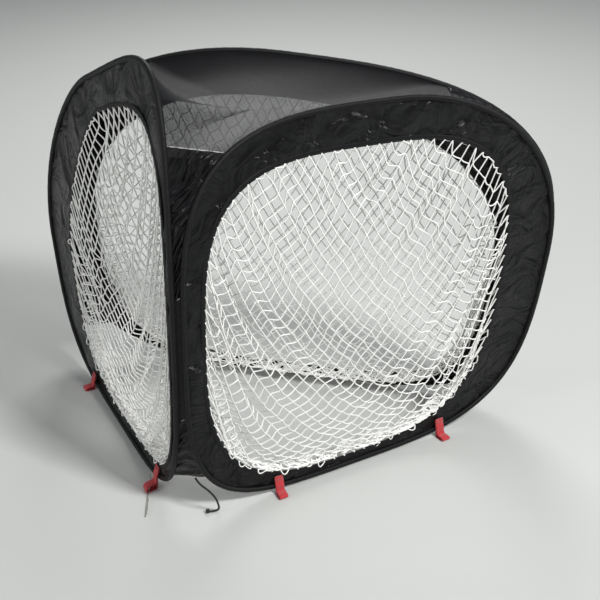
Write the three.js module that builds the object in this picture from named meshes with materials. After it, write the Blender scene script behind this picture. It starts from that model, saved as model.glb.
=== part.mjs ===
// A pop-up golf chipping net: three sprung hoops in fabric sleeves stand as the sides of a
// triangle. Each hoop carries a black border panel with a rounded opening and a slack white net,
// a fine mesh closes the top, gathered gussets join the hoops at the corners, and red webbing
// loops hold the bottom to the ground. Millimetres, +Z up, the front corner towards -Y.
import * as THREE from 'three';
import { mergeVertices } from 'three/addons/utils/BufferGeometryUtils.js';

// ---------------------------------------------------------------- driving dimensions
// Where the three corner lines of the prism meet the ground, how far each leans by its top, and
// how far the hoops beside it stand back from it.
const CORNERS = {
  front: { foot: [-35, -342], lean: [6, 38], setback: 13 },
  left: { foot: [-495, 187], lean: [-6, -50], setback: 21 },
  right: { foot: [535, 189], lean: [76, -60], setback: 26 },
};
// Each hoop runs from one corner to another. Its height is given at both ends, and the
// exponents say how square its corners are: far top, near top, near bottom, far bottom.
const HOOPS = {
  left: {
    from: 'front',
    to: 'left',
    heights: [893, 592],
    squareness: [1.85, 5.6, 4.6, 3.8],
    opening: { centre: [0.432, 0.472], half: [0.39, 0.434], squareness: [1.5, 4.0, 4.6, 3.3] },
    bag: 45,
    loops: [0.17, 0.74],
  },
  right: {
    from: 'front',
    to: 'right',
    heights: [749, 738],
    squareness: [2.1, 3.4, 4.2, 3.4],
    opening: { centre: [0.458, 0.463], half: [0.405, 0.433], squareness: [3.0, 3.5, 3.0, 3.0] },
    bag: 45,
    loops: [0.247, 0.74],
  },
  back: {
    from: 'left',
    to: 'right',
    heights: [778, 700],
    squareness: [3.0, 2.1, 3.2, 4.2],
    opening: { centre: [0.5, 0.455], half: [0.41, 0.425], squareness: [2.4, 2.2, 3.0, 4.0] },
    bag: 45,
    loops: [0.257, 0.743],
  },
};
const HOOP_CENTRE_Z = 7; // the hoop's wire above the ground at its lowest point
const WIRE_R = 1.75;
const FERRULE = { outer: 2.9, inner: 2.15, length: 24 };
const SLEEVE = { outer: 5.5, inner: 3.4 };
const WIRE_GAP = 1; // between the wire's two ends, and between the sleeve's
const STITCH_GAP = 1.2; // between a sleeve and the fabric sewn to it at a corner
const BORDER_SLACK = 2.6; // between a sleeve and its own border, where straight steps cut the curve
const SEAM_GAP = 0.4; // between two fabrics that are sewn together
const BORDER_THICKNESS = 1.2;
const HEM = { width: 9, thickness: 2.6 };
const NET = { thickness: 2.4, rings: 3 };
const MESH = { thickness: 1.0, rings: 2, stepsPerHoop: 10, sag: 14, hem: 0.006 };
const GUSSET_THICKNESS = 1.2;
const BINDING_THICKNESS = 1.4;
const STRIP_GAP = 0.001; // between two strips of a corner, as a fraction of a hoop's length
const HOOP_STEPS = 48;
const LOOP = {
  width: 18,
  thickness: 1.8,
  panelHeight: 22, // its stitched end's reach up the border panel
  reach: 29,
  pulledReach: 33,
  eyeStart: 14, // from under the hoop to the eye
  eyeMargin: 6, // from the eye to the loop's end
  eyeHeight: 3.8,
};
const PEG = { radius: 1.4, front: 88, behind: 17, hook: 14, turn: 25 };
const TIE = { share: 0.65, radius: 2, knotRadius: 5 };
// The tie's course from the front gusset's lower edge: towards the right hoop, outwards, and up
// from the ground.
const TIE_COURSE = [
  [0, 3.4, 77],
  [12, 9, 70],
  [28, 6, 56],
  [37, 0, 38],
  [40, -5, 20],
  [39, -8, 8],
  [34, -7, 3],
  [24, 0, 3],
];

// Places on each hoop, as fractions of its length from the middle of its bottom, towards its far
// end, over the top, and back: the gusset hems, the corner seams and the ends of the top mesh.
const PLACES = {
  left: { far: [0.135, 0.213, 0.327, 0.43], near: [0.877, 0.825, 0.743, 0.647] },
  right: { far: [0.13, 0.19, 0.288, 0.44], near: [0.86, 0.802, 0.708, 0.605] },
  back: { far: [0.143, 0.205, 0.295, 0.417], near: [0.86, 0.8, 0.725, 0.6] },
};

const COLOURS = {
  spring_steel: [0x8f9294, 0.4, 0.9],
  black_sleeve: [0x111214, 0.55, 0],
  black_polyester: [0x17181a, 0.5, 0],
  black_mesh: [0x1d1e20, 0.7, 0],
  white_net: [0xe9e9e4, 0.8, 0],
  red_webbing: [0xd4202c, 0.75, 0],
  zinc_wire: [0xc4c2ba, 0.35, 0.9],
  black_cord: [0x141416, 0.7, 0],
};

const net = new THREE.Group();

function addPart(name, geometry, finish) {
  const [color, roughness, metalness] = COLOURS[finish];
  const mesh = new THREE.Mesh(geometry, new THREE.MeshStandardMaterial({ color, roughness, metalness }));
  mesh.name = name;
  net.add(mesh);
}

// Keeps only the positions and joins the vertices that coincide.
function weld(geometry) {
  geometry.deleteAttribute('normal');
  geometry.deleteAttribute('uv');
  const welded = mergeVertices(geometry, 1e-4);
  welded.computeVertexNormals();
  return welded;
}

// ---------------------------------------------------------------- panels and hoops
// A point of a superellipse in the direction of an angle, with its own exponent in each quarter.
function superellipse({ centre, half, squareness }, angle) {
  const c = Math.cos(angle);
  const s = Math.sin(angle);
  const quarter = s >= 0 ? (c >= 0 ? 0 : 1) : c < 0 ? 2 : 3;
  const n = squareness[quarter];
  const reach = (Math.abs(c / half[0]) ** n + Math.abs(s / half[1]) ** n) ** (-1 / n);
  return [centre[0] + reach * c, centre[1] + reach * s];
}

function makePanel(name) {
  const spec = HOOPS[name];
  const near = CORNERS[spec.from];
  const far = CORNERS[spec.to];
  const along = new THREE.Vector2(far.foot[0] - near.foot[0], far.foot[1] - near.foot[1]);
  const span = along.length();
  const [first, last] = [near.setback / span, 1 - far.setback / span];
  const corner = (at, t, height) =>
    new THREE.Vector3(at.foot[0] + at.lean[0] * t, at.foot[1] + at.lean[1] * t, HOOP_CENTRE_Z + height * t);
  // A point of the ruled surface between the two corner lines, from fractions of width and height.
  const ruled = (s, t) => {
    const across = first + s * (last - first);
    return corner(near, t, spec.heights[0]).lerp(corner(far, t, spec.heights[1]), across);
  };
  const outward = (s, t) => {
    const step = 0.01;
    const width = ruled(s + step, t).sub(ruled(s - step, t));
    const rise = ruled(s, t + step).sub(ruled(s, t - step));
    const normal = width.cross(rise).normalize();
    const here = ruled(s, t);
    return normal.x * here.x + normal.y * here.y < 0 ? normal.negate() : normal;
  };
  const size = [span * (last - first), (spec.heights[0] + spec.heights[1]) / 2];
  return { name, spec, ruled, outward, size, ...makeHoopLine(spec, size) };
}

// The hoop's outline drawn flat, in millimetres of the panel, from the middle of its bottom.
function makeHoopLine(spec, [width, height]) {
  const outline = { centre: [0.5, 0.5], half: [0.5, 0.5], squareness: spec.squareness };
  const drawn = [];
  const samples = 160;
  for (let i = 0; i < samples; i++) {
    const angle = -Math.PI / 2 + (i / samples) * 2 * Math.PI;
    const [s, t] = superellipse(outline, angle);
    drawn.push(new THREE.Vector3(s * width, t * height, 0));
  }
  const line = new THREE.CatmullRomCurve3(drawn, true);
  line.arcLengthDivisions = 800;
  return { line };
}

// The point of a panel at x and y of its flat drawing, lifted off its surface.
function lay(panel, x, y, lift = 0) {
  const s = x / panel.size[0];
  const t = y / panel.size[1];
  return panel.ruled(s, t).addScaledVector(panel.outward(s, t), lift);
}

// A point of the hoop: inset within the panel's surface and lifted off it.
function onHoop(panel, fraction, inset = 0, lift = 0) {
  const u = ((fraction % 1) + 1) % 1;
  const at = panel.line.getPointAt(u);
  const tangent = panel.line.getTangentAt(u);
  return lay(panel, at.x - tangent.y * inset, at.y + tangent.x * inset, lift);
}

// ---------------------------------------------------------------- sheet builders
// A flat ring or disc of unit radius, turned from its profile, whose points are then moved to
// place(angle step, radius from 0 to 1, side of the sheet from -1 to 1).
function laidSheet(steps, innerRadius, rings, place) {
  const profile = [];
  for (let i = 0; i <= rings; i++) {
    const r = innerRadius + ((1 - innerRadius) * i) / rings;
    profile.push(new THREE.Vector2(r, -1));
  }
  for (let i = rings; i >= 0; i--) {
    const r = innerRadius + ((1 - innerRadius) * i) / rings;
    profile.push(new THREE.Vector2(r, 1));
  }
  if (innerRadius > 0) profile.push(profile[0].clone());
  const sheet = weld(new THREE.LatheGeometry(profile, steps));
  const position = sheet.attributes.position;
  for (let i = 0; i < position.count; i++) {
    const x = position.getX(i);
    const z = position.getZ(i);
    const radius = Math.hypot(x, z);
    const step = (Math.atan2(x, z) / (2 * Math.PI)) * steps;
    const moved = place(step, (radius - innerRadius) / (1 - innerRadius), position.getY(i));
    position.setXYZ(i, moved.x, moved.y, moved.z);
  }
  return faceOut(sheet);
}

// A thin strip between two lines of points: edge(side 0 or 1, fraction along) gives its edges.
function stripSheet(steps, thickness, edge) {
  const strip = weld(new THREE.BoxGeometry(1, 1, 1, 1, steps, 1));
  const position = strip.attributes.position;
  for (let i = 0; i < position.count; i++) {
    const along = position.getY(i) + 0.5;
    const start = edge(0, along);
    const end = edge(1, along);
    const nudge = 0.01;
    const before = edge(0, Math.max(0, along - nudge)).add(edge(1, Math.max(0, along - nudge)));
    const after = edge(0, Math.min(1, along + nudge)).add(edge(1, Math.min(1, along + nudge)));
    const normal = end.clone().sub(start).cross(after.sub(before)).normalize();
    const moved = start.lerp(end, position.getX(i) + 0.5);
    moved.addScaledVector(normal, position.getZ(i) * thickness);
    position.setXYZ(i, moved.x, moved.y, moved.z);
  }
  return faceOut(strip);
}

// Turns a closed mesh's faces outwards.
function faceOut(geometry) {
  const position = geometry.attributes.position;
  const index = geometry.index.array;
  const [a, b, c] = [new THREE.Vector3(), new THREE.Vector3(), new THREE.Vector3()];
  let volume = 0;
  for (let i = 0; i < index.length; i += 3) {
    a.fromBufferAttribute(position, index[i]);
    b.fromBufferAttribute(position, index[i + 1]);
    c.fromBufferAttribute(position, index[i + 2]);
    volume += a.dot(b.cross(c));
  }
  if (volume < 0) {
    for (let i = 0; i < index.length; i += 3) {
      [index[i + 1], index[i + 2]] = [index[i + 2], index[i + 1]];
    }
  }
  geometry.computeVertexNormals();
  return geometry;
}

// ---------------------------------------------------------------- hoop: wire, ferrule, sleeve
function circle(radius, segments) {
  const points = [];
  for (let i = 0; i < segments; i++) {
    const angle = ((i + 0.5) / segments) * 2 * Math.PI;
    points.push(new THREE.Vector2(radius * Math.cos(angle), radius * Math.sin(angle)));
  }
  return points;
}

function tubeSection(outer, inner, segments) {
  const section = new THREE.Shape(circle(outer, segments));
  if (inner > 0) section.holes.push(new THREE.Path(circle(inner, segments)));
  return section;
}

// The hoop's line as an open path, with its two ends a gap apart at the middle of the bottom.
function openLoopPath(panel) {
  const points = [];
  const end = WIRE_GAP / 2 / panel.line.getLength();
  for (let i = 0; i <= HOOP_STEPS; i++) {
    const u = Math.min(Math.max(i / HOOP_STEPS, end), 1 - end);
    points.push(onHoop(panel, u));
  }
  const path = new THREE.CatmullRomCurve3(points);
  path.arcLengthDivisions = 800;
  return path;
}

function addHoop(panel) {
  const extrudePath = openLoopPath(panel);
  const wire = new THREE.ExtrudeGeometry(tubeSection(WIRE_R, 0, 6), { steps: HOOP_STEPS, extrudePath });
  addPart(`${panel.name}_hoop_wire`, weld(wire), 'spring_steel');
  const sleeve = new THREE.ExtrudeGeometry(tubeSection(SLEEVE.outer, SLEEVE.inner, 8), {
    steps: HOOP_STEPS,
    extrudePath,
  });
  addPart(`${panel.name}_hoop_sleeve`, weld(sleeve), 'black_sleeve');
  const half = FERRULE.length / 2 / panel.line.getLength();
  const ferrulePath = new THREE.LineCurve3(onHoop(panel, -half), onHoop(panel, half));
  const ferrule = new THREE.ExtrudeGeometry(tubeSection(FERRULE.outer, FERRULE.inner, 8), {
    steps: 1,
    extrudePath: ferrulePath,
  });
  addPart(`${panel.name}_hoop_ferrule`, weld(ferrule), 'spring_steel');
}

// ---------------------------------------------------------------- border panel, hem and net
// The opening's edge in the direction of one step of the hoop, with a margin added, flat drawing.
function openingEdge(panel, toward, margin) {
  const { opening } = panel.spec;
  const centre = [opening.centre[0] * panel.size[0], opening.centre[1] * panel.size[1]];
  const half = [opening.half[0] * panel.size[0], opening.half[1] * panel.size[1]];
  const angle = Math.atan2(toward.y - centre[1], toward.x - centre[0]);
  const [x, y] = superellipse({ centre, half, squareness: opening.squareness }, angle);
  return new THREE.Vector2(x + margin * Math.cos(angle), y + margin * Math.sin(angle));
}

function hoopEdge(panel, step, inset) {
  const u = (((step / HOOP_STEPS) % 1) + 1) % 1;
  const at = panel.line.getPointAt(u);
  const tangent = panel.line.getTangentAt(u);
  return new THREE.Vector2(at.x - tangent.y * inset, at.y + tangent.x * inset);
}

function addBorder(panel) {
  const outerInset = SLEEVE.outer + BORDER_SLACK;
  const border = laidSheet(HOOP_STEPS, 0.5, 1, (step, radius, side) => {
    const outer = hoopEdge(panel, step, outerInset);
    const inner = openingEdge(panel, outer, HEM.width + SEAM_GAP);
    const at = inner.lerp(outer, radius);
    return lay(panel, at.x, at.y, (side * BORDER_THICKNESS) / 2);
  });
  addPart(`${panel.name}_border_panel`, border, 'black_polyester');
  const hem = laidSheet(HOOP_STEPS, 0.5, 1, (step, radius, side) => {
    const toward = hoopEdge(panel, step, outerInset);
    const at = openingEdge(panel, toward, 0).lerp(openingEdge(panel, toward, HEM.width), radius);
    return lay(panel, at.x, at.y, (side * HEM.thickness) / 2);
  });
  addPart(`${panel.name}_opening_hem`, hem, 'black_polyester');
}

// The net hangs slack in its opening and bags inwards, most of all below its middle.
function addNet(panel) {
  const sheet = laidSheet(HOOP_STEPS, 0, NET.rings, (step, radius, side) => {
    const toward = hoopEdge(panel, step, SLEEVE.outer);
    const edge = openingEdge(panel, toward, -SEAM_GAP);
    const { opening } = panel.spec;
    const middle = new THREE.Vector2(opening.centre[0] * panel.size[0], opening.centre[1] * panel.size[1]);
    const low = middle.clone().setY(middle.y * 0.62);
    const at = low.lerp(edge, radius);
    const bag = panel.spec.bag * (1 - radius ** 2);
    return lay(panel, at.x, at.y, (side * NET.thickness) / 2 - bag);
  });
  addPart(`${panel.name}_net`, sheet, 'white_net');
}

// ---------------------------------------------------------------- corners
// A strip between two hoops whose edges stop short of both sleeves. Each range gives the strip's
// two ends on its hoop.
function sewnBetween(first, firstRange, second, secondRange, steps, thickness) {
  const clear = SLEEVE.outer + STITCH_GAP;
  const pick = (range, along) => range[0] + (range[1] - range[0]) * along;
  return stripSheet(steps, thickness, (side, along) => {
    const ends = [
      [first, pick(firstRange, along)],
      [second, pick(secondRange, along)],
    ];
    const [panel, u] = ends[side];
    const [otherPanel, otherU] = ends[1 - side];
    const here = onHoop(panel, u);
    const across = onHoop(otherPanel, otherU).sub(here).normalize();
    const nudge = 0.002;
    const tangent = onHoop(panel, u + nudge).sub(onHoop(panel, u - nudge)).normalize();
    const sine = Math.sqrt(1 - across.dot(tangent) ** 2);
    return here.addScaledVector(across, clear / sine);
  });
}

// From the ground up, each corner has a gusset, a seam, a second gusset and the top mesh's hem.
function addCorner(name, first, firstEnd, second, secondEnd) {
  const a = PLACES[first.name][firstEnd];
  const b = PLACES[second.name][secondEnd];
  const towardsA = Math.sign(a[1] - a[0]);
  const towardsB = Math.sign(b[1] - b[0]);
  const between = (start, end, startGap, endGap) => [
    [a[start] + towardsA * startGap, a[end] - towardsA * endGap],
    [b[start] + towardsB * startGap, b[end] - towardsB * endGap],
  ];
  const add = (part, ranges, steps, thickness, finish) => {
    const strip = sewnBetween(first, ranges[0], second, ranges[1], steps, thickness);
    addPart(`${name}_${part}`, strip, finish);
  };
  const half = STRIP_GAP / 2;
  add('bottom_gusset', between(0, 1, 0, half), 4, GUSSET_THICKNESS, 'black_polyester');
  add('seam_binding', between(1, 2, half, half), 5, BINDING_THICKNESS, 'black_sleeve');
  add('top_gusset', between(2, 3, half, MESH.hem + half), 7, GUSSET_THICKNESS, 'black_polyester');
  const hem = [
    [a[3] - towardsA * (MESH.hem - half), a[3] - towardsA * half],
    [b[3] - towardsB * (MESH.hem - half), b[3] - towardsB * half],
  ];
  add('mesh_hem', hem, 1, BINDING_THICKNESS, 'black_sleeve');
}

// The fine mesh that closes the top. It sags, and it hangs just inside the three hoops.
function addTopMesh({ left, right, back }) {
  const inside = -(SLEEVE.outer + STITCH_GAP + 1);
  const runs = [
    [right, PLACES.right.near[3], PLACES.right.far[3]],
    [back, PLACES.back.far[3], PLACES.back.near[3]],
    [left, PLACES.left.far[3], PLACES.left.near[3]],
  ];
  const edge = [];
  for (const [panel, start, end] of runs) {
    for (let i = 0; i <= MESH.stepsPerHoop; i++) {
      const u = start + ((end - start) * i) / MESH.stepsPerHoop;
      edge.push(onHoop(panel, u, 0, inside));
    }
  }
  const centre = new THREE.Vector3(0, 0, -MESH.sag);
  for (const point of edge) centre.addScaledVector(point, 1 / edge.length);
  const sheet = laidSheet(edge.length, 0, MESH.rings, (step, radius, side) => {
    const at = centre.clone().lerp(edge[wrapStep(step, edge.length)], radius);
    at.z += (side * MESH.thickness) / 2;
    return at;
  });
  addPart('top_mesh_panel', sheet, 'black_mesh');
}

function wrapStep(step, count) {
  return ((Math.round(step) % count) + count) % count;
}

// ---------------------------------------------------------------- ground loops, peg and tie
// The height fraction of a hoop's lower edge at a fraction of its panel's width.
function hoopRise({ squareness }, fraction) {
  const x = 2 * fraction - 1;
  const n = x < 0 ? squareness[2] : squareness[3];
  return 0.5 - 0.5 * (1 - Math.abs(x) ** n) ** (1 / n);
}

// The foot of a hoop at a fraction of its panel's width: the ground point under it, the hoop's
// height there, how much that height changes across a loop's width, how far the panel leans out
// per unit of height, and the directions outwards and along.
function footOf(panel, fraction) {
  const t = hoopRise(panel.spec, fraction);
  const step = LOOP.width / 2 / panel.size[0];
  const rise = (hoopRise(panel.spec, fraction + step) - hoopRise(panel.spec, fraction - step)) / 2;
  const point = panel.ruled(fraction, t);
  const above = panel.ruled(fraction, t + 0.05).sub(point);
  const out = panel.outward(fraction, t).setZ(0).normalize();
  const along = new THREE.Vector3().crossVectors(out, new THREE.Vector3(0, 0, 1));
  return {
    height: point.z,
    slack: Math.abs(rise) * panel.size[1],
    lean: above.dot(out) / above.z,
    point: point.setZ(0),
    out,
    along,
  };
}

// A webbing loop in section, x outwards and y up from the ground under the hoop: it comes down
// the outside of the panel and the sleeve, and ends in an eye that lies on the ground.
function loopSection({ height, slack, lean }, reach) {
  const t = LOOP.thickness;
  const face = BORDER_THICKNESS / 2 + 1;
  const past = SLEEVE.outer + 1;
  const top = height + LOOP.panelHeight + slack;
  const topShift = lean * (LOOP.panelHeight + slack);
  const shoulder = height + SLEEVE.outer + 8 + slack;
  const shoulderShift = lean * (SLEEVE.outer + 8 + slack);
  const eyeTop = t + LOOP.eyeHeight;
  const [eyeStart, eyeEnd] = [LOOP.eyeStart, reach - LOOP.eyeMargin];
  const outline = [
    [face + topShift, top],
    [face + shoulderShift, shoulder],
    [past + 0.8, height + 4 + slack],
    [past + 0.8, Math.max(height - 4 - slack, 2)],
    [eyeStart - 6, 0],
    [reach - 3, 0],
    [reach, 2.4],
    [reach, eyeTop - 0.6],
    [reach - 3, eyeTop + t],
    [eyeStart - 1, eyeTop + t],
    [past + 0.8 + t, Math.max(height - 4 - slack, eyeTop + t + 0.5)],
    [past + 0.8 + t, height + 4.6 + slack],
    [face + shoulderShift + t, shoulder + 0.6],
    [face + topShift + t, top],
  ];
  const section = new THREE.Shape(outline.map(([x, y]) => new THREE.Vector2(x, y)));
  const eye = [
    [eyeStart, t],
    [eyeStart, eyeTop],
    [eyeEnd, eyeTop],
    [eyeEnd + 2, t + 1.4],
    [eyeEnd, t],
  ];
  section.holes.push(new THREE.Path(eye.map(([x, y]) => new THREE.Vector2(x, y))));
  return section;
}

// The front corner's loop is pulled out by its peg; the others lie closer to the hoop.
function loopReach(panel, i) {
  return panel.name === 'left' && i === 0 ? LOOP.pulledReach : LOOP.reach;
}

function addGroundLoops(panel) {
  panel.spec.loops.forEach((fraction, i) => {
    const foot = footOf(panel, fraction);
    const section = loopSection(foot, loopReach(panel, i));
    const strap = new THREE.ExtrudeGeometry(section, { depth: LOOP.width, bevelEnabled: false });
    strap.translate(0, 0, -LOOP.width / 2);
    const up = new THREE.Vector3(0, 0, 1);
    strap.applyMatrix4(new THREE.Matrix4().makeBasis(foot.out, up, foot.along).setPosition(foot.point));
    const end = i === 0 ? 'near' : 'far';
    addPart(`${panel.name}_${end}_ground_loop`, faceOut(weld(strap)), 'red_webbing');
  });
}

// A wire peg lying through the eye of the front corner's loop, its hook turned up behind it.
function addPeg(panel) {
  const foot = footOf(panel, panel.spec.loops[0]);
  const eyeMiddle = (LOOP.eyeStart + LOOP.pulledReach - LOOP.eyeMargin) / 2;
  const centre = foot.point.clone().addScaledVector(foot.out, eyeMiddle);
  centre.z = LOOP.thickness + LOOP.eyeHeight / 2;
  const toFront = CORNERS.front.foot[0] - CORNERS.left.foot[0];
  const sign = Math.sign(foot.along.x * toFront);
  const forward = foot.along.clone().multiplyScalar(sign);
  forward.applyAxisAngle(new THREE.Vector3(0, 0, 1), THREE.MathUtils.degToRad(-PEG.turn));
  const back = centre.clone().addScaledVector(forward, -PEG.behind);
  const bend = new THREE.CurvePath();
  const raised = back.clone().setZ(centre.z + PEG.hook);
  bend.add(new THREE.LineCurve3(centre.clone().addScaledVector(forward, PEG.front), back));
  const corner = back.clone().addScaledVector(forward, -PEG.hook / 2);
  bend.add(new THREE.QuadraticBezierCurve3(back, corner, raised));
  const steps = 24;
  const extrudePath = new THREE.CatmullRomCurve3(bend.getSpacedPoints(steps));
  const peg = new THREE.ExtrudeGeometry(tubeSection(PEG.radius, 0, 8), { steps, extrudePath });
  addPart('front_peg', faceOut(weld(peg)), 'zinc_wire');
}

// A short cord that hangs from the front gusset's lower edge to the ground and ends in a knot.
function addTie(left, right) {
  const start = onHoop(left, PLACES.left.near[0]);
  const across = onHoop(right, PLACES.right.near[0]).sub(start);
  start.addScaledVector(across, TIE.share).setZ(0);
  across.setZ(0).normalize();
  const out = new THREE.Vector3().crossVectors(across, new THREE.Vector3(0, 0, 1));
  const points = TIE_COURSE.map(([towardsRight, outwards, height]) => {
    const point = start.clone().addScaledVector(across, towardsRight);
    return point.addScaledVector(out, outwards).setZ(height);
  });
  const extrudePath = new THREE.CatmullRomCurve3(points);
  const cord = new THREE.ExtrudeGeometry(tubeSection(TIE.radius, 0, 8), { steps: 24, extrudePath });
  addPart('front_tie_cord', faceOut(weld(cord)), 'black_cord');
  const knot = new THREE.SphereGeometry(TIE.knotRadius, 12, 8);
  const ahead = extrudePath.getTangentAt(1);
  const reach = TIE.knotRadius + 0.4;
  const centre = points[points.length - 1].clone().addScaledVector(ahead, reach);
  knot.translate(centre.x, centre.y, TIE.knotRadius);
  addPart('front_tie_knot', faceOut(weld(knot)), 'black_cord');
}

// ---------------------------------------------------------------- assembly
const panels = { left: makePanel('left'), right: makePanel('right'), back: makePanel('back') };
for (const panel of Object.values(panels)) {
  addHoop(panel);
  addBorder(panel);
  addNet(panel);
  addGroundLoops(panel);
}
addCorner('front', panels.left, 'near', panels.right, 'near');
addCorner('left', panels.left, 'far', panels.back, 'near');
addCorner('right', panels.right, 'far', panels.back, 'far');
addTopMesh(panels);
addPeg(panels.left);
addTie(panels.left, panels.right);

// The origin goes to the middle of the footprint, on the ground.
const bounds = new THREE.Box3().setFromObject(net);
const middle = bounds.getCenter(new THREE.Vector3());
for (const mesh of net.children) mesh.geometry.translate(-middle.x, -middle.y, -bounds.min.z);

export default net;
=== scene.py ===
"""A pop-up golf chipping net: three sprung hoops in black sleeves, each with a shiny black border,
an opening and a slack white net, a fine mesh top, gathered corners, and red ground loops."""
import math

import bpy
import numpy as np
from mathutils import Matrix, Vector


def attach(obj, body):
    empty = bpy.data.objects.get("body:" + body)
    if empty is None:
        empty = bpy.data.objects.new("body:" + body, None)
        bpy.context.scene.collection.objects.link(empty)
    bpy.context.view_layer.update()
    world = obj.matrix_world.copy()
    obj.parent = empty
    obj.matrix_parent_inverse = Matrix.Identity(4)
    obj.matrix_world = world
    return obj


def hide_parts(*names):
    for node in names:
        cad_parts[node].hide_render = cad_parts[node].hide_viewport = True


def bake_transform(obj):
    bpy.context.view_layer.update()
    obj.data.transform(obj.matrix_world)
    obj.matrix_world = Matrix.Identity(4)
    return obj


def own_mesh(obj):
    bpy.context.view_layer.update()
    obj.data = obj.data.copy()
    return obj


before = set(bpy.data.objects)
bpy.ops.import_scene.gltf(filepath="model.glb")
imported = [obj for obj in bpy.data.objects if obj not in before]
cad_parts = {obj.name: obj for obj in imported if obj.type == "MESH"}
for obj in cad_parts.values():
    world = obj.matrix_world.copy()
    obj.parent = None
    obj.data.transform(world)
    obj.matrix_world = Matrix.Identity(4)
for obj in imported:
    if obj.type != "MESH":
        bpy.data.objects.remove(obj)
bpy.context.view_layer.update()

TURN = 2 * math.pi

# -------------------- driving dimensions (metres)
# The middle of the footprint, measured on the plan that the corner lines below are drawn on.
PLAN_MIDDLE = (0.035950, -0.063744)
# Where the corner lines meet the ground, how far each leans by its top, and the hoops' setback.
CORNERS = {
    "front": {"foot": (-0.035, -0.342), "lean": (0.006, 0.038), "setback": 0.013},
    "left": {"foot": (-0.495, 0.187), "lean": (-0.006, -0.050), "setback": 0.021},
    "right": {"foot": (0.535, 0.189), "lean": (0.076, -0.060), "setback": 0.026},
}
# Each hoop's corners and heights at its two ends. Squareness has an exponent for each quarter: far
# top, near top, near bottom, far bottom. The opening is in fractions of the panel, cell is one net
# mesh, slack is the net's fullness across and up, and loops are the places of the ground loops.
HOOPS = {
    "left": {
        "ends": ("front", "left"),
        "heights": (0.893, 0.592),
        "squareness": (1.85, 5.6, 4.6, 3.8),
        "opening": {
            "centre": (0.432, 0.472),
            "half": (0.39, 0.434),
            "squareness": (1.5, 4.0, 4.6, 3.3),
        },
        "cell": (0.028, 0.033),
        "slack": (1.12, 1.48),
        "loops": (0.17, 0.74),
    },
    "right": {
        "ends": ("front", "right"),
        "heights": (0.749, 0.738),
        "squareness": (2.1, 3.4, 4.2, 3.4),
        "opening": {
            "centre": (0.458, 0.463),
            "half": (0.405, 0.433),
            "squareness": (3.0, 3.5, 3.0, 3.0),
        },
        "cell": (0.0245, 0.0355),
        "slack": (1.10, 1.50),
        "loops": (0.247, 0.74),
    },
    "back": {
        "ends": ("left", "right"),
        "heights": (0.778, 0.700),
        "squareness": (3.0, 2.1, 3.2, 4.2),
        "opening": {
            "centre": (0.5, 0.455),
            "half": (0.41, 0.425),
            "squareness": (2.4, 2.2, 3.0, 4.0),
        },
        "cell": (0.0250, 0.0350),
        "slack": (1.10, 1.46),
        "loops": (0.257, 0.743),
    },
}
# Places on a hoop, as fractions of its length from the middle of its bottom: the lower hem of
# the corner gusset, the seam's two ends, and the hem of the top mesh.
PLACES = {
    "left": {"far": (0.135, 0.213, 0.327, 0.43), "near": (0.877, 0.825, 0.743, 0.647)},
    "right": {"far": (0.13, 0.19, 0.288, 0.44), "near": (0.86, 0.802, 0.708, 0.605)},
    "back": {"far": (0.143, 0.205, 0.295, 0.417), "near": (0.86, 0.8, 0.725, 0.6)},
}
HOOP_LOWEST = 0.007  # the hoop's wire above the ground at its lowest point
SLEEVE_R = 0.0053
BORDER_INSET = 0.004  # from the hoop's wire to the border's sewn edge, under the sleeve
WAVE_HEIGHT = 0.0024  # of the loose border's slow waves, and below, of its creases
CREASE_HEIGHT = 0.0042
CREASES = 16
HEM_WIDTH = 0.010
HEM_THICKNESS = 0.0026
TWINE_R = 0.00130
KNOT_R = 0.0021
NET_DEPTH = 0.036  # how far behind the opening the slack net may hang
BAR = 0.0216  # a net bar's length, from knot to knot
PACKED = 0.50  # how close, as a share of a bar, bunched knots come to each other
SETTLED = 1.17  # above 1, the netting's spare rows sink towards the bottom
# How the netting is left to hang: a slow fall, so that the bars keep their length, in small steps.
HANG = {
    "fall": 1.8,
    "pace": 1 / 90,
    "steps": 260,
    "quick_steps": 40,
    "passes": 14,
    "spring": 0.015,  # how much of its shortening a slack bar takes back in each pass
    "stir": 0.03,
    "drag": 0.97,
    "bag": 0.022,  # how far the middle starts behind the rim
    "unevenness": 0.003,
}
MESH_HEM_SHARE = 0.006  # the mesh hem's width, as a share of a hoop's length
LOOP_WIDTH = 0.018
LOOP_THICKNESS = 0.0016
LOOP_REACH = {"pulled": 0.033, "close": 0.029}
PANEL_TAB = 0.022  # how far up the border the loop's stitched end reaches
# The peg lies through the front loop, turned from it by degrees; the point is a share of radius.
PEG = {
    "out": 0.0205,
    "height": 0.0037,
    "radius": 0.0014,
    "point": 0.35,
    "front": 0.088,
    "behind": 0.017,
    "hook": 0.014,
    "turn": 25,
}
TIE = {"share": 0.65, "radius": 0.002, "knot": 0.005}
# The tie's course from the front gusset's lower edge: towards the right hoop, outwards, and up
# from the ground.
TIE_COURSE = (
    (0.000, 0.0034, 0.077),
    (0.012, 0.009, 0.070),
    (0.028, 0.006, 0.056),
    (0.037, 0.000, 0.038),
    (0.040, -0.005, 0.020),
    (0.039, -0.008, 0.008),
    (0.034, -0.007, 0.003),
    (0.024, 0.000, 0.003),
)

CAMERA = {
    "azimuth": 16.72,
    "elevation": 27.77,
    "roll": -1.89,
    "target": (0.0, 0.0, 0.360),
    "distance": 2.1529,
    "lens": 66.74,
    "shift": (0.0865, -0.0552),
}


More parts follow.
